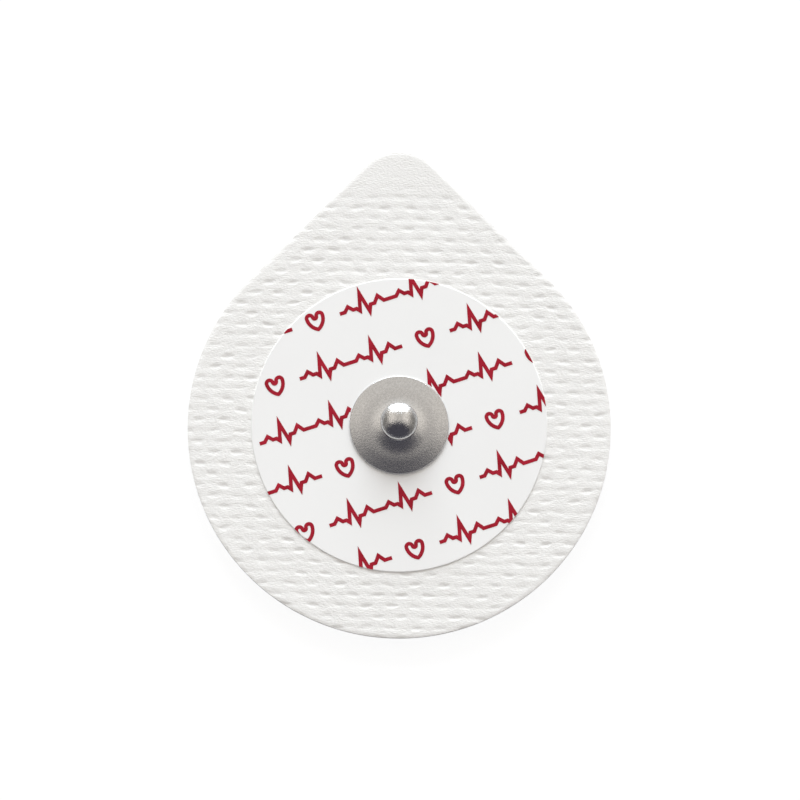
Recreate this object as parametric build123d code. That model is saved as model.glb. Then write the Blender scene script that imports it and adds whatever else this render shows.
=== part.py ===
from build123d import *
from math import ceil, cos, radians, sin, sqrt, tan
import os

# Self-adhesive snap electrode for heart monitoring, in millimetres.
# The snap's axis is Z, the drop's tip points to +Y, and the liner's well rests on z = 0.

# Drop-shaped outline, seen from above
ROUND_END_RADIUS = 22.0
ROUND_END_SHIFT = 0.3  # the round end's centre lies this far below the snap's axis
TIP_RADIUS = 4.8
FLANK_ANGLE = 45.3  # degrees between a straight flank and the drop's axis

# Clear release liner with a formed well that keeps the gel from being squeezed
LINER_FILM = 0.12
WELL_DEPTH = 1.3
WELL_DRAFT = 35.0  # degrees between the well's wall and the vertical
WELL_ROUND = 0.3

# Backing cloth, embossed with staggered rows of small boat-shaped pits
CLOTH_THICKNESS = 0.5
PIT_PITCH = 2.68
ROW_PITCH = 1.13
ROW_TURN = -1.0  # degrees by which the rows run off the drop's cross direction
FIRST_PIT_X = -0.6
FIRST_PIT_Y = -0.9
PIT_LENGTH = 1.55
PIT_WIDTH = 0.72
PIT_DEPTH = 0.2
PIT_MARGIN = 0.15  # plain cloth left between a pit and any edge
PLAIN_TIP = 4.4  # the finger tab at the tip isn't embossed

# Cover label that closes the cloth's gel window and carries the snap
LABEL_RADIUS = 15.4
LABEL_THICKNESS = 0.15

# Red print on the label: slanting rows of heartbeat traces and small hearts
INK_THICKNESS = 0.02
INK_STROKE = 0.39
PRINT_SLANT = 18.0  # degrees
PRINT_ROW_PITCH = 5.2
PRINT_REPEAT = 16.4  # along a row, from one heart to the next
PRINT_STAGGER = 0.37  # share of a repeat by which each row is shifted
BEAT_LENGTH = 5.6
BEAT_HEIGHT = 1.45
BEATS = 2
HEART_SIZE = 2.1
SMALLEST_MARK = 0.1  # smallest area of a mark that the label's edge cuts

# One heartbeat, as shares of its length and height
BEAT_SHAPE = [
    (0.00, 0.00),
    (0.10, 0.00),
    (0.18, 0.32),
    (0.26, 0.00),
    (0.33, 0.00),
    (0.38, -0.22),
    (0.46, 1.00),
    (0.55, -0.45),
    (0.60, 0.00),
    (0.68, 0.00),
    (0.77, 0.45),
    (0.86, 0.00),
]

# Snap stud, drawn from thin steel sheet
STUD_SHEET = 0.25
FLANGE_RADIUS = 5.15
RIM_SLOPE = 8.5  # degrees, on the flange's outer cone
FLANGE_SLOPE = 5.5  # degrees, on its middle cone
COLLAR_SLOPE = 14.0  # degrees, on its inner cone
BEND_RADIUS = 3.8  # where the outer and the middle cone meet
BEND_ROUND = 12.0
COLLAR_RADIUS = 2.7  # where the middle and the inner cone meet
COLLAR_ROUND = 6.0
RIM_SEAT = 0.25  # flat ring of the rim that presses on the label
RIM_ROUND = 0.1
FOOT_ROUND = 0.3  # hollow curve between the flange and the neck
NECK_RADIUS = 1.62
NECK_LENGTH = 1.1
NECK_ROUND = 0.08
HEAD_RADIUS = 1.95
BELT_HEIGHT = 0.4  # straight belt of the head that a lead's socket closes on
SHOULDER_ROUND = 0.35
DOME_RADIUS = 3.2

# Silver-coated sensor eyelet under the label, with its post upset inside the stud
SENSOR_SETBACK = 0.15  # the disc is this much smaller than the flange above it
SENSOR_THICKNESS = 0.45
SENSOR_ROUND = 0.12

# Gel pad under the sensor
GEL_RADIUS = 8.5

# Clearances
GEL_CLEARANCE = 0.4  # round the gel pad, in the cloth's window and in the well
POCKET_CLEARANCE = 0.05  # round the sensor, in the gel pad's pocket
POST_CLEARANCE = 0.02  # round the post, in the stud and in the label
INK_CLEARANCE = 0.1  # between the print and the flange's rim

# Heights of the layers, from the resting face upwards
CLOTH_UNDERSIDE = WELL_DEPTH + LINER_FILM
LABEL_UNDERSIDE = CLOTH_UNDERSIDE + CLOTH_THICKNESS
STUD_SEAT = LABEL_UNDERSIDE + LABEL_THICKNESS

# Sizes that follow from the outline and the fits
TIP_CENTRE_Y = (ROUND_END_RADIUS - TIP_RADIUS) / sin(radians(FLANK_ANGLE)) - ROUND_END_SHIFT
SENSOR_RADIUS = FLANGE_RADIUS - SENSOR_SETBACK
WINDOW_RADIUS = GEL_RADIUS + GEL_CLEARANCE
CAVITY_RADIUS = NECK_RADIUS - STUD_SHEET
POST_RADIUS = CAVITY_RADIUS - POST_CLEARANCE
BEND_RISE = STUD_SHEET + (FLANGE_RADIUS - BEND_RADIUS) * tan(radians(RIM_SLOPE))
COLLAR_RISE = BEND_RISE + (BEND_RADIUS - COLLAR_RADIUS) * tan(radians(FLANGE_SLOPE))
FLANGE_RISE = COLLAR_RISE + (COLLAR_RADIUS - NECK_RADIUS) * tan(radians(COLLAR_SLOPE))
NECK_TOP = FLANGE_RISE + FOOT_ROUND * tan(radians(90 - COLLAR_SLOPE) / 2) + NECK_LENGTH
UNDERSIDE_RISE = abs(HEAD_RADIUS - NECK_RADIUS)  # the head's underside slopes at 45 degrees
BELT_BOTTOM = NECK_TOP + UNDERSIDE_RISE
BELT_TOP = BELT_BOTTOM + BELT_HEIGHT
SHOULDER_CENTRE = Vector(HEAD_RADIUS - SHOULDER_ROUND, BELT_TOP)
DOME_DROP = sqrt((DOME_RADIUS - SHOULDER_ROUND) ** 2 - SHOULDER_CENTRE.X**2)
DOME_CENTRE = Vector(0, BELT_TOP - DOME_DROP)


def drop_outline(inset=0):
    """Flat drop: a round end and a small round tip, joined by the lines that touch both."""
    flank = radians(FLANK_ANGLE)
    right = Vector(cos(flank), sin(flank))
    left = Vector(-right.X, right.Y)
    body = Vector(0, -ROUND_END_SHIFT)
    body_radius = ROUND_END_RADIUS - inset
    tip = Vector(0, TIP_CENTRE_Y)
    tip_radius = TIP_RADIUS - inset
    round_end = ThreePointArc(
        body + left * body_radius, body - Vector(0, body_radius), body + right * body_radius
    )
    round_tip = ThreePointArc(
        tip + right * tip_radius, tip + Vector(0, tip_radius), tip + left * tip_radius
    )
    flanks = [Line(round_end @ 1, round_tip @ 0), Line(round_tip @ 1, round_end @ 0)]
    return make_face([round_end, flanks[0], round_tip, flanks[1]])


def layer(outline, bottom, thickness):
    """Flat layer of the stack, from a face drawn in plan."""
    return extrude(Pos(0, 0, bottom) * outline, thickness)


def turned(section, seat=0):
    """Solid of revolution about the snap's axis, from a section drawn as radius and height."""
    return Pos(0, 0, seat) * revolve(Plane.XZ * section, Axis.Z)


def well_space(floor, foot, mouth, foot_round):
    """Space of the liner's well from its floor to its mouth, with a rounded foot."""
    spread = (mouth - floor) * tan(radians(WELL_DRAFT))
    wall = FilletPolyline(
        (0, floor), (foot, floor), (foot + spread, mouth), radius=[foot_round]
    )
    return turned(make_face([wall, Polyline(wall @ 1, (0, mouth), wall @ 0)]))


def release_liner():
    """Clear film cut to the drop's outline, with a drafted well pressed down in the middle."""
    draft = radians(WELL_DRAFT)
    outer_foot = WINDOW_RADIUS + LINER_FILM * (1 / cos(draft) - tan(draft))
    rim = layer(drop_outline(), WELL_DEPTH, LINER_FILM)
    well = well_space(0, outer_foot, CLOTH_UNDERSIDE, WELL_ROUND + LINER_FILM)
    hollow = well_space(LINER_FILM, WINDOW_RADIUS, CLOTH_UNDERSIDE, WELL_ROUND)
    return rim + well - hollow


def emboss_pit():
    """Boat-shaped pit as a flat pyramid pointing down, with its waterline at z = 0."""
    lift = PIT_DEPTH / 4
    grow = 1 + lift / PIT_DEPTH
    stem = Vector(PIT_LENGTH / 2 * grow, 0, 0)
    beam = Vector(0, PIT_WIDTH / 2 * grow, 0)
    brim = [Vector(0, 0, lift) + side for side in (stem, beam, -stem, -beam)]
    keel = Vector(0, 0, -PIT_DEPTH)
    sides = [Face(Wire.make_polygon([brim[i - 1], brim[i], keel])) for i in range(len(brim))]
    return Solid(Shell([Face(Wire.make_polygon(brim)), *sides]))


def pit_places():
    """Places of the pits: staggered, turned rows wherever the cloth shows beside the label."""
    field = drop_outline(PIT_MARGIN)
    tip_edge = TIP_CENTRE_Y + TIP_RADIUS
    rows = ceil((tip_edge + ROUND_END_RADIUS) / ROW_PITCH)
    columns = ceil(tip_edge / PIT_PITCH)
    ends = [Pos(PIT_LENGTH / 2), Pos(0, PIT_WIDTH / 2), Pos(-PIT_LENGTH / 2), Pos(0, -PIT_WIDTH / 2)]
    places = []
    for row in range(-rows, rows + 1):
        for column in range(-columns, columns + 1):
            step = Pos(FIRST_PIT_X + (column + row % 2 / 2) * PIT_PITCH, FIRST_PIT_Y + row * ROW_PITCH)
            place = Rot(0, 0, ROW_TURN) * step
            corners = [(place * end).position for end in ends]
            beside_label = min(corner.length for corner in corners) > LABEL_RADIUS + PIT_MARGIN
            below_tab = max(corner.Y for corner in corners) < tip_edge - PLAIN_TIP
            if beside_label and below_tab and all(field.is_inside(corner) for corner in corners):
                places.append(place)
    return places


def backing_cloth():
    """Nonwoven cloth tape with the gel window in the middle and pits pressed into its top."""
    cloth = layer(drop_outline() - Circle(WINDOW_RADIUS), CLOTH_UNDERSIDE, CLOTH_THICKNESS)
    pit = emboss_pit()
    return cloth - [Pos(0, 0, LABEL_UNDERSIDE) * place * pit for place in pit_places()]


def cover_label():
    """Round film with a hole for the eyelet's post."""
    return layer(Circle(LABEL_RADIUS) - Circle(CAVITY_RADIUS), LABEL_UNDERSIDE, LABEL_THICKNESS)


def heartbeat_trace():
    """Flat outline of the drawn line that runs through a few heartbeats."""
    points = [
        ((beat + along) * BEAT_LENGTH, up * BEAT_HEIGHT)
        for beat in range(BEATS)
        for along, up in BEAT_SHAPE
    ]
    return trace(Polyline(*points, (BEATS * BEAT_LENGTH, 0)), INK_STROKE).face()


def small_heart():
    """Flat outline of a small heart, drawn with the same stroke as the trace."""
    lobe = HEART_SIZE / 4
    right = ThreePointArc((0, lobe), (lobe, 2 * lobe), (2 * lobe, lobe))
    right_side = TangentArc(right @ 1, (0, -2 * lobe), tangent=(0, -1))
    left_side = mirror(right_side, Plane.YZ)
    left = mirror(right, Plane.YZ)
    heart = make_face([right, right_side, left_side, left])
    return (heart - offset(heart, -INK_STROKE)).face()


def label_print():
    """Slanting rows of traces and hearts, cut off at the label's edge and round the flange."""
    trace_mark = heartbeat_trace()
    trace_end = BEATS * BEAT_LENGTH
    heart_mark = Pos((trace_end + PRINT_REPEAT) / 2, 0) * small_heart()
    rows = ceil(LABEL_RADIUS / PRINT_ROW_PITCH)
    field = Circle(LABEL_RADIUS) - Circle(FLANGE_RADIUS + INK_CLEARANCE)
    printed = []
    for row in range(-rows, rows + 1):
        first = -2 * LABEL_RADIUS + row * PRINT_STAGGER % 1 * PRINT_REPEAT
        for repeat in range(ceil(4 * LABEL_RADIUS / PRINT_REPEAT)):
            shift = Pos(first + repeat * PRINT_REPEAT, (row + 0.5) * PRINT_ROW_PITCH)
            for mark in (trace_mark, heart_mark):
                kept = field & (Rot(0, 0, PRINT_SLANT) * shift * mark)
                printed += kept.faces() if kept else []
    whole = [face for face in printed if face.area > SMALLEST_MARK]
    return Compound([layer(face, STUD_SEAT, INK_THICKNESS).solid() for face in whole])


def stem(shrink, foot, rounds):
    """Turned neck and head with all walls moved inwards, on a foot drawn from the axis outwards."""
    corner = shrink * tan(radians(22.5))
    head = HEAD_RADIUS - shrink
    toward = (SHOULDER_CENTRE - DOME_CENTRE).normalized()
    side = FilletPolyline(
        *foot,
        (NECK_RADIUS - shrink, NECK_TOP + corner),
        (head, BELT_BOTTOM + corner),
        (head, BELT_TOP),
        radius=rounds,
    )
    shoulder = TangentArc(side @ 1, DOME_CENTRE + toward * (DOME_RADIUS - shrink), tangent=(0, 1))
    dome = TangentArc(shoulder @ 1, DOME_CENTRE + Vector(0, DOME_RADIUS - shrink), tangent=shoulder % 1)
    axis = Line(dome @ 1, side @ 0)
    return turned(make_face([side, shoulder, dome, axis]), STUD_SEAT)


def gentle_round(wanted, side, turn):
    """Round of a blunt corner that turns by some degrees, limited by the side that it lies on."""
    return min(wanted, side / tan(radians(abs(turn)) / 2))


def snap_stud():
    """Hollow snap: a flange of three flat cones, a neck and a domed head, drawn from one sheet."""
    skin_foot = [
        (0, 0),
        (FLANGE_RADIUS, 0),
        (FLANGE_RADIUS, STUD_SHEET),
        (BEND_RADIUS, BEND_RISE),
        (COLLAR_RADIUS, COLLAR_RISE),
        (NECK_RADIUS, FLANGE_RISE),
    ]
    middle = (BEND_RADIUS - COLLAR_RADIUS) / 2
    inner = min(middle, COLLAR_RADIUS - NECK_RADIUS - FOOT_ROUND)
    bend = gentle_round(BEND_ROUND, middle, RIM_SLOPE - FLANGE_SLOPE)
    collar = gentle_round(COLLAR_ROUND, inner, COLLAR_SLOPE - FLANGE_SLOPE)
    neck = gentle_round(NECK_ROUND, UNDERSIDE_RISE / 2, 45)
    skin_rounds = [0, RIM_ROUND, bend, collar, FOOT_ROUND, neck, neck]
    cavity_foot = [
        (0, 0),
        (FLANGE_RADIUS - RIM_SEAT, 0),
        (BEND_RADIUS, BEND_RISE - STUD_SHEET),
        (COLLAR_RADIUS, COLLAR_RISE - STUD_SHEET),
        (CAVITY_RADIUS, FLANGE_RISE - STUD_SHEET),
    ]
    cavity_rounds = [0, 0, 0, FOOT_ROUND + STUD_SHEET, 0, 0]
    return stem(0, skin_foot, skin_rounds) - stem(STUD_SHEET, cavity_foot, cavity_rounds)


def sensor_eyelet():
    """Coated disc under the label, with a post whose end is upset inside the stud's head."""
    disc = layer(Circle(SENSOR_RADIUS), LABEL_UNDERSIDE - SENSOR_THICKNESS, SENSOR_THICKNESS)
    disc = fillet(disc.edges().sort_by(Axis.Z)[0], SENSOR_ROUND)
    post_foot = [(0, -LABEL_THICKNESS), (POST_RADIUS, -LABEL_THICKNESS)]
    return disc + stem(STUD_SHEET + POST_CLEARANCE, post_foot, 0)


def gel_pad():
    """Gel disc that fills the well and the cloth's window, with a pocket for the sensor."""
    disc = layer(Circle(GEL_RADIUS), LINER_FILM, LABEL_UNDERSIDE - LINER_FILM)
    pocket = layer(
        Circle(SENSOR_RADIUS + POCKET_CLEARANCE), LABEL_UNDERSIDE - SENSOR_THICKNESS, SENSOR_THICKNESS
    )
    return disc - pocket


os.makedirs("parts", exist_ok=True)
export_step(release_liner(), "parts/release_liner.step")
export_step(backing_cloth(), "parts/backing_cloth.step")
export_step(gel_pad(), "parts/gel_pad.step")
export_step(sensor_eyelet(), "parts/sensor_eyelet.step")
export_step(cover_label(), "parts/cover_label.step")
export_step(label_print(), "parts/label_print.step")
export_step(snap_stud(), "parts/snap_stud.step")
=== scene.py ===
# %% [markdown]
# A snap electrode for heart monitoring is a stack of thin layers: a clear liner, a drop of
# embossed cloth, a round printed label and a metal snap in the middle. Its sizes are already
# settled in a solid model, so this lesson loads that model as a fixed frame and dresses it.
# Blender works in metres here, and a value that reads better in millimetres is multiplied by MM.

# %% Load the frame
from math import asin, atan2, cos, pi, radians, sin, sqrt, tan

import bmesh
import bpy
import numpy as np
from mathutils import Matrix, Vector


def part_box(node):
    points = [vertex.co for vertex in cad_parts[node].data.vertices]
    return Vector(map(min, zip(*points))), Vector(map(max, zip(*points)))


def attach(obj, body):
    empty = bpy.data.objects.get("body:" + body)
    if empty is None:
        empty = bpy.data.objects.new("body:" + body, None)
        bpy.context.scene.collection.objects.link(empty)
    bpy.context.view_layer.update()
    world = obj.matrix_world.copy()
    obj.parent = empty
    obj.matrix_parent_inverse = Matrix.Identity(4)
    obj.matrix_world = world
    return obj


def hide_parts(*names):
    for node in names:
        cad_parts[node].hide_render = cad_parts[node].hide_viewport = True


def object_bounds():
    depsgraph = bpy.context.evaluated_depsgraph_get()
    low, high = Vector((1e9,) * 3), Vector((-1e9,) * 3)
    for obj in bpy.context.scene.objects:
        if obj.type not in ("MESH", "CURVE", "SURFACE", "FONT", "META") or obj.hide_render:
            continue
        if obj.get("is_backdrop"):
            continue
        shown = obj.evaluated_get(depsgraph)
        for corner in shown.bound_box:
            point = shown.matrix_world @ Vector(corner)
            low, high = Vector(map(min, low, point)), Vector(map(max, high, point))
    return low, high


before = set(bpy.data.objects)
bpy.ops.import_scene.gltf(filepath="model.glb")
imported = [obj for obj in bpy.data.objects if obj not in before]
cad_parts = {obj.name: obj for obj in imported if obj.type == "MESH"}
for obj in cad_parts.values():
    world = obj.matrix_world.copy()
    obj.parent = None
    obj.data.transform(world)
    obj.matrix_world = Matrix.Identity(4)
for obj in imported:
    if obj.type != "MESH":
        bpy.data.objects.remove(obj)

MM = 0.001


def in_mm(sizes):
    """Sizes in millimetres, rounded for printing."""
    return [round(float(size) / MM, 2) for size in sizes]


cad_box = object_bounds()
print("frame:", sorted(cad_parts), "box in mm:", in_mm(cad_box[1] - cad_box[0]))

# %% [markdown]
# Every later step needs the same few places: the height of each layer, the snap's seat and the
# cut line of the drop. They could be typed in again, but a typed copy goes stale when the model
# changes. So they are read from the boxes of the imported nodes, and only what a box can't tell,
# such as the radius of the drop's tip, is a value of its own.

# %% Read the layers from the frame
liner_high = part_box("release_liner")[1]
cloth_low, cloth_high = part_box("backing_cloth")
label_low, label_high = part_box("cover_label")
stud_low, stud_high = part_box("snap_stud")
gel_low, gel_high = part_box("gel_pad")
sensor_low, sensor_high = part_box("sensor_eyelet")
CLOTH_UNDERSIDE = cloth_low.z
CLOTH_TOP = cloth_high.z
LABEL_RADIUS = label_high.x
STUD_SEAT = stud_low.z
print("underside, top and snap's seat in mm:", in_mm((CLOTH_UNDERSIDE, CLOTH_TOP, STUD_SEAT)))

# %% [markdown]
# The drop is a big round end and a small round tip, joined by the two straight lines that touch
# both. Cloth and liner are die-cut together, so one function gives the cut line to both of them:
# how far it lies from the snap's axis in any direction. Meshes whose points stand on rays from
# the axis can then be stretched out to it, and their edge comes out smooth.

# %% Cut line of the drop
TIP_RADIUS = 4.8 * MM
ROUND_END_RADIUS = cloth_high.x
ROUND_END_Y = cloth_low.y + ROUND_END_RADIUS
TIP_Y = cloth_high.y - TIP_RADIUS
FLANK = asin((ROUND_END_RADIUS - TIP_RADIUS) / (TIP_Y - ROUND_END_Y))


def reach_of_circle(centre_y, radius, along):
    """Distance along a ray from the axis to the far side of a circle on the drop's middle line."""
    return along.y * centre_y + sqrt(radius**2 - (along.x * centre_y) ** 2)


def cut_line(angle):
    """Distance from the snap's axis to the drop's cut edge, in one direction seen from above."""
    along = Vector((abs(cos(angle)), sin(angle)))
    outwards = Vector((cos(FLANK), sin(FLANK)))
    facing = along.dot(outwards)
    if facing > 0:
        reach = (ROUND_END_Y * outwards.y + ROUND_END_RADIUS) / facing
        if reach * along.y > TIP_Y + TIP_RADIUS * outwards.y:
            return reach_of_circle(TIP_Y, TIP_RADIUS, along)
        if reach * along.y > ROUND_END_Y + ROUND_END_RADIUS * outwards.y:
            return reach
    return reach_of_circle(ROUND_END_Y, ROUND_END_RADIUS, along)


print("cut line at the tip, side and foot:", in_mm(map(cut_line, (pi / 2, 0, -pi / 2))))

# %% [markdown]
# Operators act on whatever is selected, and the loaded nodes start out selected. So each piece
# begins with a clean selection, and inside edit mode a small helper selects vertices, edges or
# faces by a rule about their place. A rule survives a change of size, which an index doesn't.

# %% Helpers for modelling by operator
def begin(name):
    """Name the primitive that was just added, move its place into its mesh and open it."""
    piece = bpy.context.object
    piece.name = piece.data.name = name
    bpy.ops.object.transform_apply(location=True, rotation=True, scale=True)
    bpy.ops.object.mode_set(mode="EDIT")
    bpy.ops.mesh.select_mode(type="VERT")
    bpy.ops.mesh.select_all(action="SELECT")
    return piece


def pick(piece, kind, wanted):
    """In edit mode, select only the verts, edges or faces that a rule asks for."""
    bpy.ops.mesh.select_mode(type={"verts": "VERT", "edges": "EDGE", "faces": "FACE"}[kind])
    bpy.ops.mesh.select_all(action="DESELECT")
    mesh = bmesh.from_edit_mesh(piece.data)
    chosen = [element for element in getattr(mesh, kind) if wanted(element)]
    for element in chosen:
        element.select_set(True)
    bmesh.update_edit_mesh(piece.data)
    return len(chosen)


def widen(start, end, height):
    """Scale the selection about the snap's axis, from one radius to another."""
    share = end / start
    bpy.ops.transform.resize(value=(share, share, 1), center_override=(0, 0, height))


def stretch_to_cut_line(piece):
    """Move every selected vertex out along its ray, onto the drop's cut line."""
    for vertex in bmesh.from_edit_mesh(piece.data).verts:
        if vertex.select:
            angle = atan2(vertex.co.y, vertex.co.x)
            vertex.co.xy = Vector((cos(angle), sin(angle))) * cut_line(angle)
    bmesh.update_edit_mesh(piece.data)


def radius_of(vertex):
    """Distance of a vertex from the snap's axis."""
    return vertex.co.xy.length


def finish_mesh(piece, crease):
    """Turn all faces outwards, leave edit mode and shade smooth up to a crease in degrees."""
    bpy.ops.mesh.select_all(action="SELECT")
    bpy.ops.mesh.normals_make_consistent(inside=False)
    bpy.ops.object.mode_set(mode="OBJECT")
    bpy.ops.object.shade_smooth_by_angle(angle=radians(crease))
    print(piece.name, len(piece.data.polygons), "faces, size in mm:", in_mm(piece.dimensions))


def settle(piece, node):
    """Let a piece ride on the part's one body, and hide the solid that it replaces."""
    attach(piece, "root")
    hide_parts(node)


bpy.ops.object.select_all(action="DESELECT")
print("helpers ready,", len(bpy.context.selected_objects), "objects selected")

# %% [markdown]
# The backing is a nonwoven cloth that was pressed between patterned rollers. Its pits could be
# a bump in the material, but light from the side would then miss their depth and the cut edge
# would stay straight. Here they are real: rings of fine quads run from the label's edge to the
# cut line, so the edge is clean, and the pits are pressed in afterwards. Under the label, where
# nothing shows, one wide ring is enough.

# %% Cloth: rings from the gel window to the cut line
CLOTH_RAYS = 840
CLOTH_RINGS = 90
GEL_CLEARANCE = 0.4 * MM
WINDOW_RADIUS = gel_high.x + GEL_CLEARANCE
TUCK = 0.2 * MM
TUCKED_RADIUS = LABEL_RADIUS - TUCK
SHORTEST_SPOKE = 2 * MM


def is_spoke(edge):
    """Whether an edge runs outwards, from under the label's rim to the cut line."""
    start, end = sorted(map(radius_of, edge.verts))
    return start > TUCKED_RADIUS - TUCK and end - start > SHORTEST_SPOKE


bpy.ops.mesh.primitive_circle_add(
    vertices=CLOTH_RAYS, radius=WINDOW_RADIUS, location=(0, 0, CLOTH_TOP)
)
cloth = begin("embossed_cloth")
bpy.ops.mesh.extrude_edges_move()
widen(WINDOW_RADIUS, TUCKED_RADIUS, CLOTH_TOP)
bpy.ops.mesh.extrude_edges_move()
stretch_to_cut_line(cloth)
spokes = pick(cloth, "edges", is_spoke)
bpy.ops.mesh.subdivide(number_cuts=CLOTH_RINGS)
bpy.ops.object.mode_set(mode="OBJECT")
print("cloth:", spokes, "spokes cut into", len(cloth.data.vertices), "vertices")

# %% [markdown]
# The rollers leave staggered rows of boat-shaped pits. Each pit has a long upper slope and a
# short, steep lower one, and a faint groove joins the pits of a row. No two pits are pressed
# alike, so each one gets its own depth and a small shift from a seeded table, and the loose
# fibres between them make small hills of two sizes. The finger tab at the tip stays almost
# plain. The depth is also kept as an attribute, for the finish to read.

# %% Cloth: press the pits
PIT_PITCH = 2.68 * MM
ROW_PITCH = 1.13 * MM
ROW_TURN = radians(-1)
FIRST_PIT = Vector((-0.6, -0.9)) * MM
PIT_LENGTH = 1.4 * MM
PIT_WIDTH = 0.74 * MM
PIT_DEPTH = 0.058 * MM
PIT_KEEL = -0.25
PIT_END_WIDTH = 0.35
PIT_FULLNESS = 0.8
PIT_SHIFT = 0.22 * MM
PIT_LEAN = 0.12
MEAN_PRESS = 0.85
PRESS_SPREAD = 0.38
GROOVE_DEPTH = 0.012 * MM
GROOVE_TIGHTNESS = 2.4
PLAIN_TIP = 3.1 * MM
FULL_PRESS = 5.2 * MM
TIP_SHARE = 0.12
HILLS = [(0.75 * MM, 0.45 * MM, 0.012 * MM), (0.36 * MM, 0.25 * MM, 0.007 * MM)]
TABLE = 160
PIT_SEED = 11
HILL_SEED = 5


def soft_step(low, high, values):
    """Smooth ramp from 0 at low to 1 at high."""
    share = np.clip((values - low) / (high - low), 0, 1)
    return share * share * (3 - 2 * share)


def hills(x, y, length, width, chance):
    """Smooth random hills between -1 and 1, each about a cell long and wide."""
    table = chance.uniform(-1, 1, (TABLE, TABLE))
    column, row = np.floor(x / length).astype(int), np.floor(y / width).astype(int)
    right, up = soft_step(0, 1, x / length - column), soft_step(0, 1, y / width - row)
    here, beside = column % TABLE, (column + 1) % TABLE
    lower, upper = (
        table[here, line % TABLE] * (1 - right) + table[beside, line % TABLE] * right
        for line in (row, row + 1)
    )
    return lower * (1 - up) + upper * up


def pressed_depth(x, y):
    """Depth of the embossing at points of the cloth, seen from above."""
    chance = np.random.default_rng(PIT_SEED)
    strength, shift_x, shift_y, lean = chance.uniform(-1, 1, (4, TABLE, TABLE))
    across = x * cos(ROW_TURN) + y * sin(ROW_TURN) - FIRST_PIT.x
    up = y * cos(ROW_TURN) - x * sin(ROW_TURN) - FIRST_PIT.y
    row = np.rint(up / ROW_PITCH).astype(int)
    column = np.rint(across / PIT_PITCH - row % 2 / 2).astype(int)
    pit = (row % TABLE, column % TABLE)
    along = across - (column + row % 2 / 2) * PIT_PITCH - shift_x[pit] * PIT_SHIFT
    beside = up - row * ROW_PITCH - shift_y[pit] * PIT_SHIFT / 3 - lean[pit] * along * PIT_LEAN
    taper = np.clip(1 - (2 * along / PIT_LENGTH) ** 2, 0, 1)
    wide = 2 * beside / (PIT_WIDTH * (PIT_END_WIDTH + (1 - PIT_END_WIDTH) * taper))
    upper, lower = (wide - PIT_KEEL) / (1 - PIT_KEEL), (PIT_KEEL - wide) / (1 + PIT_KEEL)
    slope = np.where(wide > PIT_KEEL, upper, lower)
    bowl = taper**PIT_FULLNESS * (0.5 + 0.5 * np.cos(pi * np.clip(slope, 0, 1)))
    groove = 0.5 + 0.5 * np.cos(pi * np.clip(GROOVE_TIGHTNESS * beside / ROW_PITCH, -1, 1))
    press = MEAN_PRESS + PRESS_SPREAD * strength[pit]
    return PIT_DEPTH * press * bowl + GROOVE_DEPTH * groove


points = np.empty(len(cloth.data.vertices) * 3)
cloth.data.vertices.foreach_get("co", points)
points = points.reshape(-1, 3)
away = np.hypot(points[:, 0], points[:, 1])
embossed = soft_step(PLAIN_TIP, FULL_PRESS, cloth_high.y - points[:, 1])
embossed = TIP_SHARE + (1 - TIP_SHARE) * embossed
depth = embossed * pressed_depth(points[:, 0], points[:, 1])
depth[away < TUCKED_RADIUS - TUCK] = 0
chance = np.random.default_rng(HILL_SEED)
fibre_hills = np.zeros(len(points))
for length, width, height in HILLS:
    fibre_hills += height * (1 + hills(points[:, 0], points[:, 1], length, width, chance))
fibre_hills *= embossed * soft_step(LABEL_RADIUS - TUCK, LABEL_RADIUS + TUCK, away)
print("pits: deepest", round(depth.max() / MM, 3), "mm")

# %% [markdown]
# A die squeezes the cloth where it cuts, so the edge is a little lower and rounder than the rest,
# and the cloth is never quite flat between. Both are small moves of the same vertices: a fall
# over the last fraction of a millimetre, and a slow wave that only goes down from the label.
# The label itself was pressed into the soft cloth, which therefore stands higher beside it, and
# so the step that casts the label's thin shadow is less than the film's thickness.

# %% Cloth: soft edge, slow wave and loft
LOFT = 0.07 * MM
EDGE_FALL = 0.05 * MM
EDGE_WIDTH = 0.4 * MM
WAVE = 0.05 * MM
WAVE_LENGTH = 13 * MM
WAVE_TURN = (5, 4.2)
WAVE_START = (0.7, 0.4)
WAVE_FADE = 3 * MM

cut_edge = np.array([cut_line(atan2(y, x)) for x, y in points[:, :2]])
rounding = np.clip(1 - (cut_edge - away) / EDGE_WIDTH, 0, 1) ** 2
wave_x, wave_y = (
    np.sin(points[:, axis] / WAVE_LENGTH * WAVE_TURN[axis] + WAVE_START[axis]) for axis in (0, 1)
)
wave = (1 + wave_x * wave_y) / 2 * soft_step(LABEL_RADIUS, LABEL_RADIUS + WAVE_FADE, away)
loft = LOFT * soft_step(LABEL_RADIUS - TUCK, LABEL_RADIUS, away)
points[:, 2] = CLOTH_TOP + loft - depth - EDGE_FALL * rounding - WAVE * wave - fibre_hills
cloth.data.vertices.foreach_set("co", points.ravel())
pressed = cloth.data.attributes.new("pressed", "FLOAT", "POINT")
pressed.data.foreach_set("value", depth / depth.max())
cloth.data.update()
print("cloth top's lowest and highest point in mm:", in_mm((points[:, 2].min(), points[:, 2].max())))

# %% [markdown]
# So far the cloth is a skin. Its two open edges, at the window and at the cut line, are extruded
# straight down and flattened to the adhesive side, and a bridge between the two lower loops
# closes the bottom. That gives a flat underside, which a Solidify modifier would fill with the
# pits' own shape.

# %% Cloth: sides and adhesive underside
CLOTH_CREASE = 40

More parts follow.
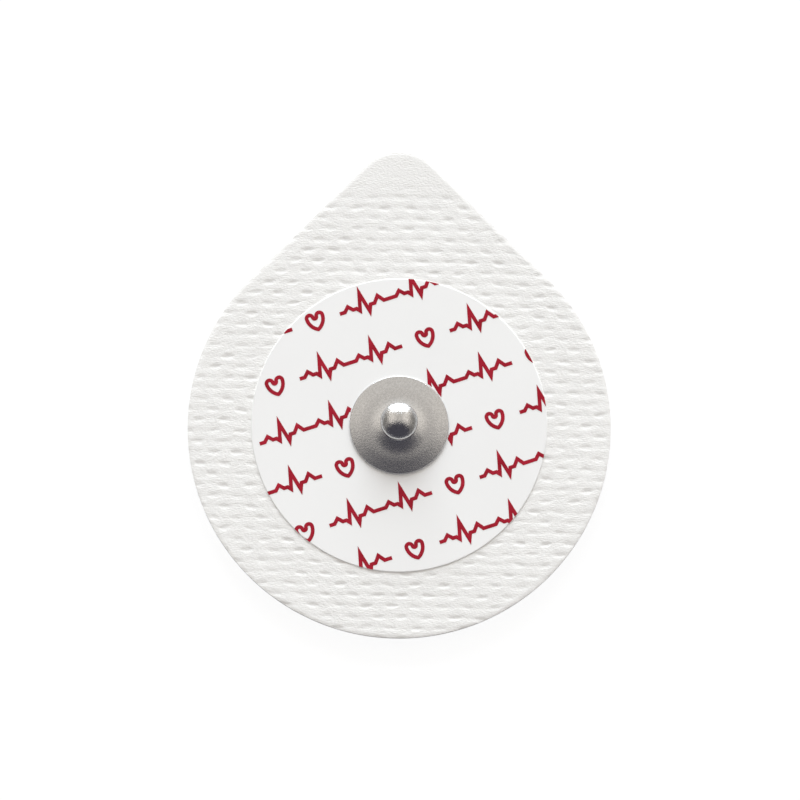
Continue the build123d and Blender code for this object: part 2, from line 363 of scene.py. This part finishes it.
bpy.ops.object.mode_set(mode="EDIT")
rim = pick(cloth, "edges", lambda edge: edge.is_boundary)
down = (0, 0, CLOTH_UNDERSIDE - CLOTH_TOP)
bpy.ops.mesh.extrude_edges_move(TRANSFORM_OT_translate={"value": down})
bpy.ops.transform.resize(value=(1, 1, 0), center_override=(0, 0, CLOTH_UNDERSIDE))
bpy.ops.mesh.bridge_edge_loops()
finish_mesh(cloth, CLOTH_CREASE)
settle(cloth, "backing_cloth")

slice_angle = 2 * pi / CLOTH_RAYS
reaches = [cut_line(slice_angle * (ray + 0.5)) for ray in range(CLOTH_RAYS)]
CUT_AREA = sum(reach**2 for reach in reaches) * slice_angle / 2
CUT_AREA -= pi * WINDOW_RADIUS**2
print("cloth:", rim, "edges closed, cut area", round(CUT_AREA / MM**2, 1), "square mm")

# %% [markdown]
# The label is a round of white film that is stuck over the gel window, with a small hole for the
# eyelet's post. Film this thin shows only its edge, so the edge matters: a ring is extruded to
# its thickness, and the upper rim gets a small bevel, which catches a line of light at the top
# and lets the rim cast a thin shadow at the bottom. A narrow ring of faces inside the bevel
# takes up its smooth shading, so that the wide face stays flat.

# %% Label: a ring with a bevelled rim
LABEL_FACETS = 256
HOLE_RADIUS = 1.37 * MM
LABEL_BEVEL = 0.05 * MM
BEVEL_STEPS = 3
FLAT_RADIUS = LABEL_RADIUS - 3 * LABEL_BEVEL
LABEL_CREASE = 35


def on_upper_rim(vertex):
    """Whether a vertex lies on the label's upper outer edge."""
    high = vertex.co.z > label_high.z - LABEL_BEVEL
    return high and radius_of(vertex) > LABEL_RADIUS - LABEL_BEVEL


bpy.ops.object.select_all(action="DESELECT")
bpy.ops.mesh.primitive_circle_add(
    vertices=LABEL_FACETS, radius=HOLE_RADIUS, location=(0, 0, label_low.z)
)
label = begin("film_label")
for inner, outer in ((HOLE_RADIUS, FLAT_RADIUS), (FLAT_RADIUS, LABEL_RADIUS)):
    bpy.ops.mesh.extrude_edges_move()
    widen(inner, outer, label_low.z)
bpy.ops.mesh.select_all(action="SELECT")
up = (0, 0, label_high.z - label_low.z)
bpy.ops.mesh.extrude_region_move(TRANSFORM_OT_translate={"value": up})
pick(label, "edges", lambda edge: all(map(on_upper_rim, edge.verts)))
bpy.ops.mesh.bevel(offset=LABEL_BEVEL, segments=BEVEL_STEPS, affect="EDGES")
finish_mesh(label, LABEL_CREASE)
settle(label, "cover_label")

# %% [markdown]
# Snap, liner and gel are round, and a round thing is drawn best as half of its section. One
# vertex is extruded from point to point along the outline, and a spin about the axis sweeps it
# into a surface. The spin's last copy lies on the first and the axis point lies on itself, so
# doubles are merged, and then all faces are turned outwards. A short lead before and after each
# bend takes up its smooth shading, so that straight walls look straight.

# %% Helpers for turned pieces
LEAD = 0.02 * MM
ROUND_STEPS = 8
DOUBLES = 0.001 * MM


def rounded(corners, radii):
    """Outline through corners, with an arc and two short leads in place of each inner corner."""
    corners = [Vector(corner) for corner in corners]
    path = [corners[0]]
    for before, corner, after, radius in zip(corners, corners[1:], corners[2:], radii):
        back, forth = (before - corner).normalized(), (after - corner).normalized()
        half = back.angle(forth) / 2
        centre = corner + (back + forth).normalized() * radius / sin(half)
        first, last = (corner + way * radius / tan(half) - centre for way in (back, forth))
        shares = [step / ROUND_STEPS for step in range(ROUND_STEPS + 1)]
        path.append(centre + first + back * LEAD)
        path += [centre + first.slerp(last, share) * radius for share in shares]
        path.append(centre + last + forth * LEAD)
    return path + [corners[-1]]


def arc(centre, radius, first, last, steps):
    """Points of an arc between two directions, in radians from the section's radius axis."""
    angles = [first + (last - first) * step / steps for step in range(steps + 1)]
    return [Vector(centre) + Vector((cos(angle), sin(angle))) * radius for angle in angles]


def turn(name, path, steps):
    """Draw half a section by extruding one vertex along it, then spin it about the snap's axis."""
    bpy.ops.object.select_all(action="DESELECT")
    bpy.ops.mesh.primitive_plane_add(size=MM, location=(path[0].x, 0, path[0].y))
    piece = begin(name)
    bpy.ops.mesh.merge(type="CENTER")
    for here, there in zip(path, path[1:]):
        step = there - here
        bpy.ops.mesh.extrude_region_move(TRANSFORM_OT_translate={"value": (step.x, 0, step.y)})
    bpy.ops.mesh.select_all(action="SELECT")
    bpy.ops.mesh.spin(steps=steps, angle=2 * pi, center=(0, 0, 0), axis=(0, 0, 1))
    bpy.ops.mesh.select_all(action="SELECT")
    bpy.ops.mesh.remove_doubles(threshold=DOUBLES)
    bpy.ops.mesh.normals_make_consistent(inside=False)
    return piece


def add_wall(piece, thickness, offset, crease):
    """Give a skin the thickness of its sheet, inwards with offset -1 and outwards with +1."""
    wall = piece.modifiers.new("wall", "SOLIDIFY")
    wall.thickness = thickness
    wall.offset = offset
    wall.use_even_offset = True
    bpy.ops.object.modifier_apply(modifier=wall.name)
    bpy.ops.object.shade_smooth_by_angle(angle=radians(crease))
    faces = len(piece.data.polygons)
    print(piece.name, "has a wall of", round(thickness / MM, 3), "mm,", faces, "faces")


print("turning helpers ready")

# %% [markdown]
# The snap is drawn from steel sheet: a flange of three flat cones with a round rim, a straight
# neck, and a domed head that the lead's socket closes on. Its outline is all in the section: the
# straight parts are corners with their radii, and the crown is two arcs that meet smoothly.
# A Solidify modifier then gives the skin its sheet thickness inwards, as in the real stud.

# %% Snap stud
STUD_FACETS = 160
STUD_CREASE = 60
STUD_SHEET = 0.25 * MM
FLANGE_RADIUS = stud_high.x
RIM_SLOPE = radians(8.5)
FLANGE_SLOPE = radians(5.5)
COLLAR_SLOPE = radians(14)
BEND_RADIUS = 3.8 * MM
BEND_ROUND = 12.0 * MM
COLLAR_RADIUS = 2.7 * MM
COLLAR_ROUND = 6.0 * MM
NECK_RADIUS = 1.62 * MM
NECK_LENGTH = 1.1 * MM
HEAD_RADIUS = 1.95 * MM
SHOULDER_ROUND = 0.35 * MM
SHOULDER_STEPS = 16
DOME_RADIUS = 3.2 * MM
DOME_STEPS = 12
RIM_ROUND = 0.1 * MM
FOOT_ROUND = 0.3 * MM
NECK_ROUND = 0.08 * MM

inset = HEAD_RADIUS - SHOULDER_ROUND
dome_drop = sqrt((DOME_RADIUS - SHOULDER_ROUND) ** 2 - inset**2)
BELT_TOP = stud_high.z - STUD_SEAT - DOME_RADIUS + dome_drop
bend_rise = STUD_SHEET + (FLANGE_RADIUS - BEND_RADIUS) * tan(RIM_SLOPE)
collar_rise = bend_rise + (BEND_RADIUS - COLLAR_RADIUS) * tan(FLANGE_SLOPE)
flange_rise = collar_rise + (COLLAR_RADIUS - NECK_RADIUS) * tan(COLLAR_SLOPE)
NECK_TOP = flange_rise + FOOT_ROUND * tan((pi / 2 - COLLAR_SLOPE) / 2) + NECK_LENGTH
side = rounded(
    [
        (FLANGE_RADIUS, 0),
        (FLANGE_RADIUS, STUD_SHEET),
        (BEND_RADIUS, bend_rise),
        (COLLAR_RADIUS, collar_rise),
        (NECK_RADIUS, flange_rise),
        (NECK_RADIUS, NECK_TOP),
        (HEAD_RADIUS, NECK_TOP + HEAD_RADIUS - NECK_RADIUS),
        (HEAD_RADIUS, BELT_TOP),
    ],
    [RIM_ROUND, BEND_ROUND, COLLAR_ROUND, FOOT_ROUND, NECK_ROUND, NECK_ROUND],
)
meeting = atan2(dome_drop, inset)
shoulder = arc((inset, BELT_TOP), SHOULDER_ROUND, 0, meeting, SHOULDER_STEPS)
dome = arc((0, BELT_TOP - dome_drop), DOME_RADIUS, meeting, pi / 2, DOME_STEPS)
section = [point + Vector((0, STUD_SEAT)) for point in side + shoulder[1:] + dome[1:]]
stud = turn("snap", section, STUD_FACETS)
finish_mesh(stud, STUD_CREASE)
add_wall(stud, STUD_SHEET, -1, STUD_CREASE)
settle(stud, "snap_stud")
top = max(vertex.co.z for vertex in stud.data.vertices)
print("top of the snap here and in the frame, in mm:", in_mm((top, stud_high.z)))

# %% [markdown]
# Under the cloth lies a clear film with a formed well, so that nothing squeezes the gel in the
# pouch. The well is turned like the snap, with rounded bends as a forming tool leaves them. Its
# open mouth is then extruded flat and stretched out to the drop's cut line, and the skin gets
# its film thickness upwards, a hair short of the cloth so that the two faces stay apart.

# %% Release liner
LINER_FACETS = 360
LINER_CREASE = 40
FILM = 0.12 * MM
HAIR = 0.01 * MM
WELL_DRAFT = radians(35)
WELL_DEPTH = liner_high.z - FILM
WELL_FOOT = WINDOW_RADIUS + FILM * (1 / cos(WELL_DRAFT) - tan(WELL_DRAFT))
WELL_MOUTH = WELL_FOOT + WELL_DEPTH * tan(WELL_DRAFT)
WELL_LIP = 1 * MM
FOOT_BEND = 0.42 * MM
MOUTH_BEND = FOOT_BEND / 2

section = rounded(
    [(0, 0), (WELL_FOOT, 0), (WELL_MOUTH, WELL_DEPTH), (WELL_MOUTH + WELL_LIP, WELL_DEPTH)],
    [FOOT_BEND, MOUTH_BEND],
)
liner = turn("clear_liner", section, LINER_FACETS)
pick(liner, "edges", lambda edge: edge.is_boundary)
bpy.ops.mesh.extrude_edges_move()
stretch_to_cut_line(liner)
finish_mesh(liner, LINER_CREASE)
if sum(face.normal.z * face.area for face in liner.data.polygons) < 0:
    liner.data.flip_normals()
add_wall(liner, FILM - HAIR, 1, LINER_CREASE)
settle(liner, "release_liner")

# %% [markdown]
# The gel pad carries the signal from the skin to the sensor. It is soft, so its edges are round
# and its lower face bulges a little into the well, with a pocket above for the sensor's disc.
# A simulation would show nothing more on a disc that its well holds all round, so the bulge is
# part of the turned section.

# %% Gel pad
GEL_FACETS = 128
GEL_CREASE = 50
GEL_BULGE = 0.12 * MM
BULGE_REACH = 0.9 * gel_high.x
BULGE_POINTS = 9
GEL_FOOT = gel_low.z + 1.5 * GEL_BULGE
GEL_ROUND = 0.45 * MM
GEL_TOP_ROUND = GEL_ROUND / 2
POCKET_ROUND = GEL_ROUND / 6
POCKET_CLEARANCE = 0.05 * MM
POCKET_RADIUS = sensor_high.x + POCKET_CLEARANCE
POCKET_FLOOR = sensor_low.z - HAIR
GEL_TOP = gel_high.z - HAIR

bulge = [
    Vector((BULGE_REACH * share, gel_low.z + HAIR + GEL_BULGE * share**2))
    for share in np.linspace(0, 1, BULGE_POINTS)
]
edge_path = rounded(
    [
        bulge[-1],
        (gel_high.x, GEL_FOOT),
        (gel_high.x, GEL_TOP),
        (POCKET_RADIUS, GEL_TOP),
        (POCKET_RADIUS, POCKET_FLOOR),
        (0, POCKET_FLOOR),
    ],
    [GEL_ROUND, GEL_TOP_ROUND, POCKET_ROUND, POCKET_ROUND],
)
gel = turn("gel_disc", bulge + edge_path[1:], GEL_FACETS)
finish_mesh(gel, GEL_CREASE)
settle(gel, "gel_pad")

# %% [markdown]
# No surface is the same all over. Films, metal, ink and gel all have slow patches and a fine
# grain, only at different scales, so one shader group serves them all: it reads the piece's own
# coordinates and puts out a patch mask and a grain height. Each material then sets the scales.

# %% Shader group: patches and grain
uneven = bpy.data.node_groups.new("uneven_surface", "ShaderNodeTree")
for name, value in (("Patch Scale", 200.0), ("Grain Scale", 4000.0)):
    socket = uneven.interface.new_socket(name, in_out="INPUT", socket_type="NodeSocketFloat")
    socket.default_value = value
for name in ("Patches", "Grain"):
    uneven.interface.new_socket(name, in_out="OUTPUT", socket_type="NodeSocketFloat")
inputs = uneven.nodes.new("NodeGroupInput")
outputs = uneven.nodes.new("NodeGroupOutput")
place = uneven.nodes.new("ShaderNodeTexCoord")
for scale, detail, result in (("Patch Scale", 3, "Patches"), ("Grain Scale", 5, "Grain")):
    noise = uneven.nodes.new("ShaderNodeTexNoise")
    noise.inputs["Detail"].default_value = detail
    uneven.links.new(place.outputs["Object"], noise.inputs["Vector"])
    uneven.links.new(inputs.outputs[scale], noise.inputs["Scale"])
    uneven.links.new(noise.outputs["Fac"], outputs.inputs[result])
print("group:", uneven.name, [socket.name for socket in uneven.interface.items_tree])

# %% [markdown]
# Each material starts from the same three things: a Principled shader, the unevenness group and
# a bump. Small helpers make them, so that a material's own cell shows only what is special. A
# value that is the same all over is set on the shader's socket, and only what varies is linked.

# %% Helpers for materials
def start_material(name, patch_scale, grain_scale):
    """New material with its Principled shader and the unevenness group at its own scales."""
    material = bpy.data.materials.new(name)
    material.use_nodes = True
    tree = material.node_tree
    shader = tree.nodes["Principled BSDF"]
    group = tree.nodes.new("ShaderNodeGroup")
    group.node_tree = uneven
    group.inputs["Patch Scale"].default_value = patch_scale
    group.inputs["Grain Scale"].default_value = grain_scale
    return material, tree, shader, group


def ramp(tree, value, target, *stops):
    """Send a varying value through a ramp of two colours into a socket."""
    node = tree.nodes.new("ShaderNodeValToRGB")
    for element, (position, colour) in zip(node.color_ramp.elements, stops):
        element.position = position
        element.color = (*colour, 1)
    tree.links.new(value, node.inputs["Fac"])
    tree.links.new(node.outputs["Color"], target)


def spread(tree, value, target, low, high, start=0.3, end=0.7):
    """Send a varying value into a socket, spread over a new range."""
    node = tree.nodes.new("ShaderNodeMapRange")
    node.inputs["From Min"].default_value = start
    node.inputs["From Max"].default_value = end
    node.inputs["To Min"].default_value = low
    node.inputs["To Max"].default_value = high
    tree.links.new(value, node.inputs["Value"])
    tree.links.new(node.outputs["Result"], target)


def add_bump(tree, height, shader, depth):
    """Bump of a given depth in metres from a varying height."""
    node = tree.nodes.new("ShaderNodeBump")
    node.inputs["Distance"].default_value = depth
    node.inputs["Strength"].default_value = 1.0
    tree.links.new(height, node.inputs["Height"])
    tree.links.new(node.outputs["Normal"], shader.inputs["Normal"])


def dress(piece, material):
    """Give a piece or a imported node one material."""
    piece.data.materials.clear()
    piece.data.materials.append(material)
    print(piece.name, "wears", material.name)


print("material helpers ready")

# %% [markdown]
# Nonwoven cloth is white fibre, matt and slightly warm. Where the rollers pressed it, the fibres
# are bonded and a little greyer, and the pits also get painted shade: their colour darkens with
# the depth that the pressed attribute tells. The fibres run mostly across the drop, so the grain
# is stretched that way by a Mapping node.

# %% Finish: cloth
FIBRE_WHITE = (0.853, 0.842, 0.815)
# Colour of the deepest pits: partly the bonded fibre's greyer tone, partly painted shade.
BONDED_GREY_AND_PIT_SHADE = (0.80, 0.789, 0.763)
FIBRE_SCALE = (3300, 6600, 6600)
FIBRE_DETAIL = 4.0

material, tree, shader, group = start_material("nonwoven_cloth", patch_scale=350.0, grain_scale=6000.0)
attribute = tree.nodes.new("ShaderNodeAttribute")
attribute.attribute_name = "pressed"
colour = shader.inputs["Base Color"]
# Painted shade: the cloth darkens towards the bottom of each pit, following its depth.
ramp(tree, attribute.outputs["Fac"], colour, (0.1, FIBRE_WHITE), (1.0, BONDED_GREY_AND_PIT_SHADE))
spread(tree, group.outputs["Patches"], shader.inputs["Roughness"], low=0.8, high=0.95)
place = tree.nodes.new("ShaderNodeTexCoord")
stretch = tree.nodes.new("ShaderNodeMapping")
stretch.inputs["Scale"].default_value = FIBRE_SCALE
fibres = tree.nodes.new("ShaderNodeTexNoise")
fibres.inputs["Scale"].default_value = 1.0
fibres.inputs["Detail"].default_value = FIBRE_DETAIL
tree.links.new(place.outputs["Object"], stretch.inputs["Vector"])
tree.links.new(stretch.outputs["Vector"], fibres.inputs["Vector"])
add_bump(tree, fibres.outputs["Fac"], shader, depth=0.047 * MM)
shader.inputs["Specular IOR Level"].default_value = 0.2
dress(cloth, material)

# %% [markdown]
# The label is a white film with a satin face. Its colour hardly changes, so the life is in the
# gloss: slow patches in the roughness and a very shallow ripple, as in any film that was rolled.

# %% Finish: label film
FILM_WHITE = (0.885, 0.88, 0.863)
FILM_SHADE = (0.868, 0.863, 0.846)

material, tree, shader, group = start_material("satin_film", patch_scale=120.0, grain_scale=900.0)
patches, colour = group.outputs["Patches"], shader.inputs["Base Color"]
ramp(tree, patches, colour, (0.3, FILM_WHITE), (0.7, FILM_SHADE))
spread(tree, patches, shader.inputs["Roughness"], low=0.45, high=0.6)
add_bump(tree, group.outputs["Grain"], shader, depth=0.004 * MM)
shader.inputs["Specular IOR Level"].default_value = 0.25
dress(label, material)

# %% [markdown]
# The print is a thin coat of red ink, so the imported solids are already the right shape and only
# need their colour. Ink pools a little, which shows as slightly darker and glossier spots.

# %% Finish: ink
INK_RED = (0.40, 0.012, 0.03)
INK_DEEP = (0.29, 0.006, 0.018)

material, tree, shader, group = start_material("red_ink", patch_scale=900.0, grain_scale=7000.0)
patches, colour = group.outputs["Patches"], shader.inputs["Base Color"]
ramp(tree, patches, colour, (0.3, INK_RED), (0.7, INK_DEEP))
spread(tree, patches, shader.inputs["Roughness"], low=0.5, high=0.35)
add_bump(tree, group.outputs["Grain"], shader, depth=0.002 * MM)
shader.inputs["Specular IOR Level"].default_value = 0.15
dress(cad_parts["label_print"], material)

# %% [markdown]
# The stud is nickel-plated steel. The drawing tool leaves the flange satin, while the head was
# burnished bright. Its roughness is lower there, and the small dents that burnishing leaves break
# up its sharp reflections, so its grain is deeper. Object coordinates give the height, and Map
# Range nodes make the step between the two finishes.

# %% Finish: steel of the snap
STEEL_LIGHT = (0.545, 0.546, 0.542)
STEEL_DARK = (0.457, 0.458, 0.455)
POLISH_BLEND = 0.2 * MM
POLISH_START = STUD_SEAT + NECK_TOP - POLISH_BLEND
POLISH_END = STUD_SEAT + NECK_TOP + POLISH_BLEND
FLANGE_ROUGHNESS = 0.26
HEAD_ROUGHNESS = 0.1
FLANGE_GRAIN = 0.34
HEAD_GRAIN = 0.7

material, tree, shader, group = start_material("nickel_steel", patch_scale=5500.0, grain_scale=7000.0)
shader.inputs["Metallic"].default_value = 1.0
patches, colour = group.outputs["Patches"], shader.inputs["Base Color"]
ramp(tree, patches, colour, (0.34, STEEL_LIGHT), (0.66, STEEL_DARK))
place = tree.nodes.new("ShaderNodeTexCoord")
way = tree.nodes.new("ShaderNodeSeparateXYZ")
tree.links.new(place.outputs["Object"], way.inputs["Vector"])
grain = tree.nodes.new("ShaderNodeMath")
grain.operation = "MULTIPLY"
tree.links.new(group.outputs["Grain"], grain.inputs[0])
for target, low, high in (
    (shader.inputs["Roughness"], FLANGE_ROUGHNESS, HEAD_ROUGHNESS),
    (grain.inputs[1], FLANGE_GRAIN, HEAD_GRAIN),
):
    spread(tree, way.outputs["Z"], target, low, high, POLISH_START, POLISH_END)
add_bump(tree, grain.outputs["Value"], shader, depth=0.035 * MM)
dress(stud, material)

# %% [markdown]
# The sensor is a plastic eyelet with a coat of silver and silver chloride. That coat is a dull,
# mauve-tinted grey and slightly rough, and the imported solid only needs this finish.

# %% Finish: sensor coat
SILVER_PALE = (0.36, 0.35, 0.36)
SILVER_DULL = (0.26, 0.25, 0.27)

material, tree, shader, group = start_material("silver_coat", patch_scale=600.0, grain_scale=8000.0)
patches, colour = group.outputs["Patches"], shader.inputs["Base Color"]
ramp(tree, patches, colour, (0.3, SILVER_PALE), (0.7, SILVER_DULL))
spread(tree, patches, shader.inputs["Roughness"], low=0.4, high=0.6)
add_bump(tree, group.outputs["Grain"], shader, depth=0.004 * MM)
shader.inputs["Metallic"].default_value = 0.4
dress(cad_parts["sensor_eyelet"], material)

# %% [markdown]
# Wet gel in a fine sponge is pale blue and shines. Patches in the colour stand for the pores of
# the sponge, and a low roughness with a soft bump gives the wet face.

# %% Finish: gel
GEL_PALE = (0.66, 0.77, 0.83)
GEL_DEEP = (0.5, 0.64, 0.72)

material, tree, shader, group = start_material("wet_gel", patch_scale=1500.0, grain_scale=2500.0)
patches, colour = group.outputs["Patches"], shader.inputs["Base Color"]
ramp(tree, patches, colour, (0.35, GEL_PALE), (0.65, GEL_DEEP))
spread(tree, patches, shader.inputs["Roughness"], low=0.12, high=0.3)
add_bump(tree, group.outputs["Grain"], shader, depth=0.03 * MM)
shader.inputs["Coat Weight"].default_value = 0.4
dress(gel, material)

# %% [markdown]
# The liner is clear polyester film. Light passes through it, so it is a transmitting shader with
# a low index, because a thin film hardly bends light, and faint haze patches from handling.

# %% Finish: clear film
CLEAR = (0.97, 0.98, 0.98)
HAZE = (0.93, 0.95, 0.95)

material, tree, shader, group = start_material("clear_film", patch_scale=250.0, grain_scale=1200.0)
patches, colour = group.outputs["Patches"], shader.inputs["Base Color"]
ramp(tree, patches, colour, (0.3, CLEAR), (0.7, HAZE))
spread(tree, patches, shader.inputs["Roughness"], low=0.03, high=0.12)
add_bump(tree, group.outputs["Grain"], shader, depth=0.003 * MM)
shader.inputs["Transmission Weight"].default_value = 1.0
shader.inputs["IOR"].default_value = 1.25
dress(liner, material)

# %% [markdown]
# The electrode lies on a plain white table. The floor is a matt diffuse plane that takes the
# shadow, and for rays from the camera, from gloss and through film it also shines a little, so
# that the table stays white without more light on the object. Seen from below it is clear.

# %% Stage: white table
FLOOR_SIZE = 6.0
FLOOR_DROP = 0.02 * MM
FLOOR_GREY = 0.12
FLOOR_SHINE = 0.92

bpy.ops.object.select_all(action="DESELECT")
bpy.ops.mesh.primitive_plane_add(size=FLOOR_SIZE, location=(0, 0, -FLOOR_DROP))
floor = bpy.context.object
floor.name = "white_table"
bpy.ops.object.transform_apply(location=True, rotation=True, scale=True)
material = bpy.data.materials.new("white_table")
material.use_nodes = True
tree = material.node_tree
shader = tree.nodes["Principled BSDF"]
shader.inputs["Base Color"].default_value = (FLOOR_GREY, FLOOR_GREY, FLOOR_GREY, 1)
shader.inputs["Roughness"].default_value = 0.9
shader.inputs["Specular IOR Level"].default_value = 0.0
shader.inputs["Emission Color"].default_value = (1, 1, 1, 1)
path = tree.nodes.new("ShaderNodeLightPath")
seen = path.outputs["Is Camera Ray"]
for kind in ("Is Glossy Ray", "Is Transmission Ray"):
    either = tree.nodes.new("ShaderNodeMath")
    either.operation = "MAXIMUM"
    tree.links.new(seen, either.inputs[0])
    tree.links.new(path.outputs[kind], either.inputs[1])
    seen = either.outputs["Value"]
spread(tree, seen, shader.inputs["Emission Strength"], low=0.0, high=FLOOR_SHINE, start=0.0, end=1.0)
below = tree.nodes.new("ShaderNodeNewGeometry")
clear = tree.nodes.new("ShaderNodeBsdfTransparent")
choice = tree.nodes.new("ShaderNodeMixShader")
tree.links.new(below.outputs["Backfacing"], choice.inputs["Fac"])
tree.links.new(shader.outputs["BSDF"], choice.inputs[1])
tree.links.new(clear.outputs["BSDF"], choice.inputs[2])
tree.links.new(choice.outputs["Shader"], tree.nodes["Material Output"].inputs["Surface"])
floor.data.materials.append(material)
floor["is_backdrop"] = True
print("stage:", floor.name)

# %% [markdown]
# The light comes from a large window beyond the tip, so one big soft area lamp stands there. Its
# daylight is cooler than the room, which together gives white on white cloth, while shadows stay
# a little warm. The room is bright overhead and white near the floor, with a lighter panel and
# then a dull wall on both sides, and with a dim patch above the round end. One grey for the whole
# room would be simpler, but metal lives from such differences: the dim patch darkens the lower
# half of the snap, and the panels brighten its flange to the left and right of the head.

# %% Light: window and room
WINDOW_POWER = 118.0
WINDOW_DISTANCE = 3.0
WINDOW_HEIGHT = radians(22)
WINDOW_WIDTH = 2.8
WINDOW_TALL = 1.95
WINDOW_COLOUR = (0.92, 1.0, 1.08)
ROOM_HORIZON = (1.0, 1.0, 1.0)
ROOM_BRIGHT = (0.92, 0.865, 0.805)
ROOM_PANEL = (1.37, 1.28, 1.18)
ROOM_WALL = (0.32, 0.3, 0.28)
ROOM_DIM = (0.105, 0.102, 0.125)
HORIZON_BAND = (0.3, 0.45)
PANEL_BAND = (0.2, 0.42)
WALL_BAND = (0.5, 0.75)
DIM_SIDE = Vector((-0.05, -0.6, 0.8)).normalized()
DIM_WIDTH = 1.3
DIM_CORE = radians(34)
DIM_EDGE = radians(45)

lamp = bpy.data.lights.new("window", "AREA")
lamp.shape = "RECTANGLE"
lamp.size, lamp.size_y = WINDOW_WIDTH, WINDOW_TALL
lamp.energy = WINDOW_POWER
lamp.color = WINDOW_COLOUR
window = bpy.data.objects.new("window", lamp)
bpy.context.scene.collection.objects.link(window)
window.location = Vector((0, cos(WINDOW_HEIGHT), sin(WINDOW_HEIGHT))) * WINDOW_DISTANCE
window.rotation_euler = window.location.to_track_quat("Z", "Y").to_euler()

world = bpy.data.worlds.new("room")
bpy.context.scene.world = world
world.use_nodes = True
tree = world.node_tree
background = tree.nodes["Background"]
place = tree.nodes.new("ShaderNodeTexCoord")
way = tree.nodes.new("ShaderNodeSeparateXYZ")
tree.links.new(place.outputs["Generated"], way.inputs["Vector"])


def room_blend(value, band, low, high):
    """Blend of two room colours, or of what is already blended, over a band of one direction."""
    node = tree.nodes.new("ShaderNodeMapRange")
    node.interpolation_type = "SMOOTHSTEP"
    node.inputs["From Min"].default_value, node.inputs["From Max"].default_value = band
    tree.links.new(value, node.inputs["Value"])
    mix = tree.nodes.new("ShaderNodeMixRGB")
    tree.links.new(node.outputs["Result"], mix.inputs["Fac"])
    for socket, colour in (("Color1", low), ("Color2", high)):
        if isinstance(colour, tuple):
            mix.inputs[socket].default_value = (*colour, 1)
        else:
            tree.links.new(colour, mix.inputs[socket])
    return mix.outputs["Color"]


widened = tree.nodes.new("ShaderNodeVectorMath")
widened.operation = "MULTIPLY"
widened.inputs[1].default_value = (1 / DIM_WIDTH, 1, 1)
tree.links.new(place.outputs["Generated"], widened.inputs[0])
unit = tree.nodes.new("ShaderNodeVectorMath")
unit.operation = "NORMALIZE"
tree.links.new(widened.outputs["Vector"], unit.inputs[0])
facing = tree.nodes.new("ShaderNodeVectorMath")
facing.operation = "DOT_PRODUCT"
facing.inputs[1].default_value = DIM_SIDE
tree.links.new(unit.outputs["Vector"], facing.inputs[0])
sideways = tree.nodes.new("ShaderNodeMath")
sideways.operation = "ABSOLUTE"
tree.links.new(way.outputs["X"], sideways.inputs[0])
panels = room_blend(sideways.outputs["Value"], PANEL_BAND, ROOM_BRIGHT, ROOM_PANEL)
walls = room_blend(sideways.outputs["Value"], WALL_BAND, panels, ROOM_WALL)
upper = room_blend(facing.outputs["Value"], (cos(DIM_EDGE), cos(DIM_CORE)), walls, ROOM_DIM)
whole = room_blend(way.outputs["Z"], HORIZON_BAND, ROOM_HORIZON, upper)
tree.links.new(whole, background.inputs["Color"])
print("light:", window.name, "and", world.name)

# %% [markdown]
# The photograph looks down on the electrode from a little towards its round end. A long lens
# from further away keeps the outline free of perspective, and the camera aims at a point beside
# the snap, because the drop and not the snap is in the middle of the picture.

# %% Camera
LENS = 1000.0
SENSOR = 36.0
VIEW_TILT = radians(8)
FRAME_WIDTH = 83.2 * MM
AIM = Vector((0.09, 2.62, 2.2)) * MM

shot = bpy.data.cameras.new("camera")
shot.lens = LENS
shot.sensor_width = SENSOR
shot.clip_start = MM
camera = bpy.data.objects.new("camera", shot)
bpy.context.scene.collection.objects.link(camera)
camera.location = AIM + Vector((0, -sin(VIEW_TILT), cos(VIEW_TILT))) * FRAME_WIDTH * LENS / SENSOR
camera.rotation_euler = (VIEW_TILT, 0, 0)
bpy.context.scene.camera = camera
bpy.context.scene.view_settings.view_transform = "Standard"
print("camera in mm:", in_mm(camera.location))

# %% [markdown]
# The dressed part must keep the size of the solid model, so both boxes are printed in
# millimetres.

# %% Measure and finish
boxes = {"cad": cad_box, "visual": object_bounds()}
print("boxes in mm:", {name: in_mm(high - low) for name, (low, high) in boxes.items()})
